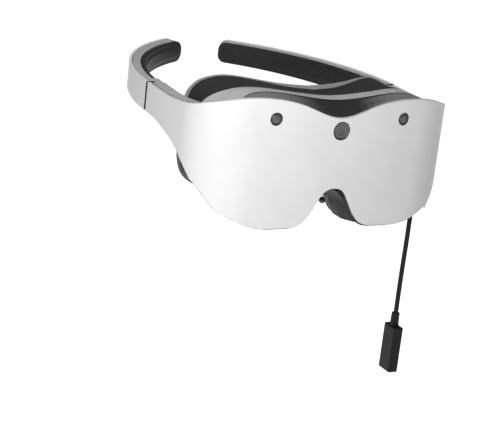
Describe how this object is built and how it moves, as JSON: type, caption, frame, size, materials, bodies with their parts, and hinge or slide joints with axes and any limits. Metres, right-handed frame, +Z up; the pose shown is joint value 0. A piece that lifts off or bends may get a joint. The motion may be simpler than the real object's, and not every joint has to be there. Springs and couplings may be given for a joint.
{
  "type": "vr headset",
  "caption": "Head-worn VR headset with a wrap-around front panel, face mask, adjustable eyepieces, folding temples and a short cord with an inline connector.",
  "frame": {"origin": "between the wearer's eyes, at the eye line, 44 mm behind the front panel", "axes": "+X to the wearer's left, +Y to the back of the head, +Z up; the front panel faces -Y"},
  "size_m": [0.1642, 0.1941, 0.1685],
  "materials": {
    "aluminium": "brushed",
    "black_metal": "gloss",
    "black_plastic": "matte",
    "board_green": "soldermask",
    "brass": "machined",
    "camera_glass": "polished",
    "cord_black": "matte",
    "cover_grey": "satin",
    "cushion_grey": "matte",
    "dark_plastic": "matte",
    "dark_rubber": "matte",
    "display_black": "polished",
    "frame_grey": "satin",
    "light_grey": "satin",
    "nose_grey": "matte",
    "optic_glass": "polished",
    "plug_black": "satin",
    "ring_black": "knurled",
    "steel": "brushed",
    "white_shell": "satin"
  },
  "bodies": {
    "headset": {"cable_gland": "cord_black", "camera_module_centre": "black_plastic", "camera_module_left": "black_plastic", "camera_module_right": "black_plastic", "camera_window_centre": "camera_glass", "camera_window_left": "camera_glass", "camera_window_right": "camera_glass", "connector_body": "plug_black", "connector_socket": "steel", "cord": "cord_black", "cord_relief": "cord_black", "cover_seal": "dark_rubber", "face_cushion": "cushion_grey", "face_gasket": "dark_rubber", "frame_screws": "steel", "front_panel": "white_shell", "gasket_frame": "dark_plastic", "heat_spreader": "aluminium", "hinge_pin_left": "steel", "hinge_pin_right": "steel", "ipd_rods": "steel", "lens_plate": "dark_plastic", "lower_housing": "dark_plastic", "lower_liner": "dark_plastic", "main_board": "board_green", "main_frame": "frame_grey", "nose_arm_left": "black_metal", "nose_arm_right": "black_metal", "nose_pad_left": "nose_grey", "nose_pad_right": "nose_grey", "nose_seal": "dark_rubber", "pinion_pin": "steel", "sensor_board": "board_green", "top_cover": "cover_grey", "upper_liner": "light_grey"},
    "lens_left": {"lens_carriage_left": "black_plastic", "display_left": "display_black", "field_lens_left": "optic_glass", "ipd_rack_left": "black_plastic"},
    "lens_right": {"lens_carriage_right": "black_plastic", "display_right": "display_black", "field_lens_right": "optic_glass", "ipd_rack_right": "black_plastic"},
    "focus_left": {"eyepiece_cell_left": "black_plastic", "eyepiece_lens_left": "optic_glass"},
    "focus_right": {"eyepiece_cell_right": "black_plastic", "eyepiece_lens_right": "optic_glass"},
    "ring_left": {"diopter_ring_left": "ring_black"},
    "ring_right": {"diopter_ring_right": "ring_black"},
    "pinion": {"ipd_pinion": "brass"},
    "temple_left": {"temple_shell_left": "white_shell", "temple_frame_left": "frame_grey", "temple_pad_left": "dark_rubber", "temple_speaker_left": "steel", "hinge_bumper_left": "dark_rubber"},
    "temple_right": {"temple_shell_right": "white_shell", "temple_frame_right": "frame_grey", "temple_pad_right": "dark_rubber", "temple_speaker_right": "steel", "hinge_bumper_right": "dark_rubber"}
  },
  "joints": [
    {"name": "temple_left_fold", "type": "hinge", "parent": "headset", "child": "temple_left", "pos_m": [0.0742, 0.036, 0.016], "axis": [0, 0, 1], "range_deg": [-3, 60]},
    {"name": "temple_right_fold", "type": "hinge", "parent": "headset", "child": "temple_right", "pos_m": [-0.0742, 0.036, 0.016], "axis": [0, 0, -1], "range_deg": [-3, 45]},
    {"name": "ipd_left", "type": "slide", "parent": "headset", "child": "lens_left", "axis": [1, 0, 0], "range_m": [-0.003, 0.003]},
    {"name": "ipd_right", "type": "slide", "parent": "headset", "child": "lens_right", "axis": [-1, 0, 0], "range_m": [-0.003, 0.003]},
    {"name": "pinion_spin", "type": "hinge", "parent": "headset", "child": "pinion", "pos_m": [0, -0.0305, 0.0263], "axis": [0, 0, 1], "range_deg": [-58, 58]},
    {"name": "diopter_left", "type": "hinge", "parent": "lens_left", "child": "ring_left", "pos_m": [0.032, -0.018, 0], "axis": [0, 1, 0], "range_deg": [-90, 90]},
    {"name": "focus_left_slide", "type": "slide", "parent": "lens_left", "child": "focus_left", "axis": [0, 1, 0], "range_m": [-0.0015, 0.0015]},
    {"name": "diopter_right", "type": "hinge", "parent": "lens_right", "child": "ring_right", "pos_m": [-0.032, -0.018, 0], "axis": [0, 1, 0], "range_deg": [-90, 90]},
    {"name": "focus_right_slide", "type": "slide", "parent": "lens_right", "child": "focus_right", "axis": [0, 1, 0], "range_m": [-0.0015, 0.0015]}
  ],
  "couplings": [
    {"joint": "ipd_right", "follows": "ipd_left", "ratio": 1},
    {"joint": "pinion_spin", "follows": "ipd_left", "rad_per_m": 333.33},
    {"joint": "focus_left_slide", "follows": "diopter_left", "m_per_rad": 0.00095493},
    {"joint": "focus_right_slide", "follows": "diopter_right", "m_per_rad": 0.00095493}
  ]
}
